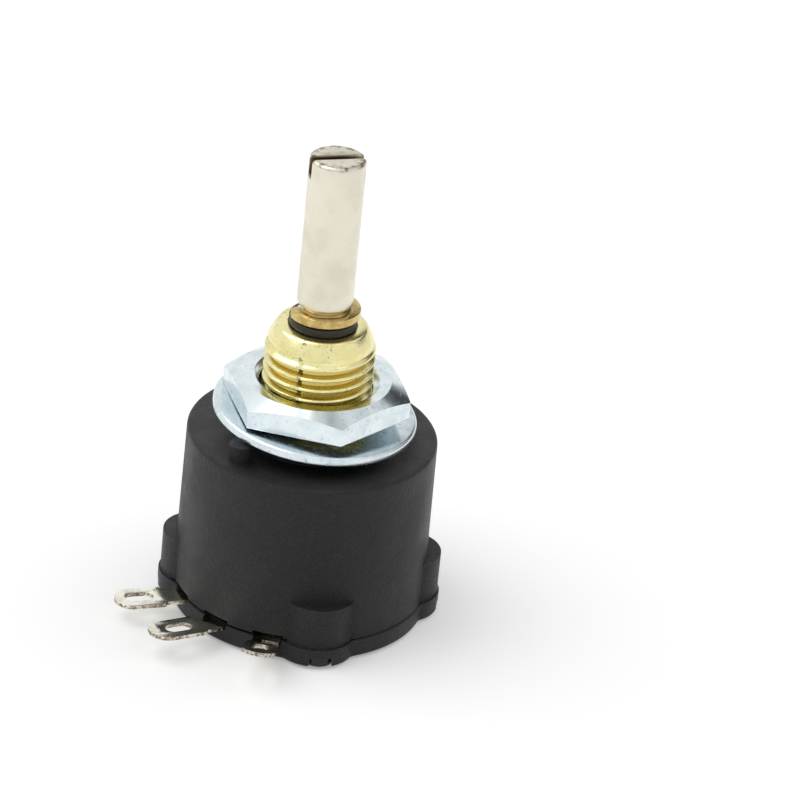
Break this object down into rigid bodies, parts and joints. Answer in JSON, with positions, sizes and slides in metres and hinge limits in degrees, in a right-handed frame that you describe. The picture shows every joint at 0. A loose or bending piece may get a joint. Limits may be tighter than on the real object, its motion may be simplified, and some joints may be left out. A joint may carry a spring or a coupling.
{
  "type": "wirewound rheostat",
  "caption": "Round panel-mounted wirewound rheostat with a threaded bush, a slotted control shaft, a geared multi-turn wiper inside and a fan of solder lugs at the rear.",
  "frame": {"origin": "shaft axis at the boss face that seats on the panel", "axes": "+Z out along the control shaft, -Y towards the solder lugs"},
  "size_m": [0.0279, 0.0351, 0.0532],
  "materials": {
    "moulded_case": "moulded, fine grain",
    "black_steel": "blackened",
    "bush_brass": "turned",
    "zinc_plate": "zinc plated",
    "shaft_nickel": "satin nickel",
    "clip_brass": "dull",
    "dark_fibre": "dark",
    "gear_brass": "cut",
    "gear_nylon": "moulded",
    "carrier_resin": "moulded",
    "pin_steel": "ground",
    "spring_bronze": "rolled strip",
    "contact_silver": "polished",
    "card_resin": "laminate",
    "resistance_wire": "drawn wire",
    "tinned_lug": "tin plated",
    "ring_brass": "rolled"
  },
  "bodies": {
    "case": {"housing": "moulded_case", "rear_cover": "moulded_case", "cover_screws": "black_steel", "threaded_bush": "bush_brass", "mounting_nut": "zinc_plate", "flat_washer": "zinc_plate", "front_thrust_washer": "dark_fibre", "ring_gear": "gear_nylon", "element_card": "card_resin", "resistance_winding": "resistance_wire", "left_lug": "tinned_lug", "middle_lug": "tinned_lug", "right_lug": "tinned_lug", "collector_ring": "ring_brass", "collector_rivet": "ring_brass"},
    "shaft": {"control_shaft": "shaft_nickel", "retaining_clip": "clip_brass", "rear_thrust_washer": "pin_steel", "sun_pinion": "gear_brass"},
    "carrier": {"planet_carrier": "carrier_resin", "planet_studs": "pin_steel", "wiper_spring": "spring_bronze", "wiper_contact": "contact_silver", "collector_contact": "contact_silver", "wiper_rivets": "ring_brass"},
    "planet_1": {"planet_gear_1": "gear_nylon"},
    "planet_2": {"planet_gear_2": "gear_nylon"},
    "planet_3": {"planet_gear_3": "gear_nylon"}
  },
  "joints": [
    {"name": "shaft_turn", "type": "hinge", "parent": "case", "child": "shaft", "pos_m": [0, 0, 0], "axis": [0, 0, 1], "range_deg": [-700, 700]},
    {"name": "carrier_turn", "type": "hinge", "parent": "case", "child": "carrier", "pos_m": [0, 0, -0.01], "axis": [0, 0, 1], "range_deg": [-141, 141]},
    {"name": "planet_1_spin", "type": "hinge", "parent": "carrier", "child": "planet_1", "pos_m": [-0.0055, 0.00392, -0.0065], "axis": [0, 0, 1], "range_deg": [-375, 375]},
    {"name": "planet_2_spin", "type": "hinge", "parent": "carrier", "child": "planet_2", "pos_m": [-0.00065, -0.00672, -0.0065], "axis": [0, 0, 1], "range_deg": [-375, 375]},
    {"name": "planet_3_spin", "type": "hinge", "parent": "carrier", "child": "planet_3", "pos_m": [0.00614, 0.0028, -0.0065], "axis": [0, 0, 1], "range_deg": [-375, 375]}
  ],
  "couplings": [
    {"joint": "carrier_turn", "follows": "shaft_turn", "ratio": 0.2},
    {"joint": "planet_1_spin", "follows": "shaft_turn", "ratio": -0.53333},
    {"joint": "planet_2_spin", "follows": "shaft_turn", "ratio": -0.53333},
    {"joint": "planet_3_spin", "follows": "shaft_turn", "ratio": -0.53333}
  ]
}
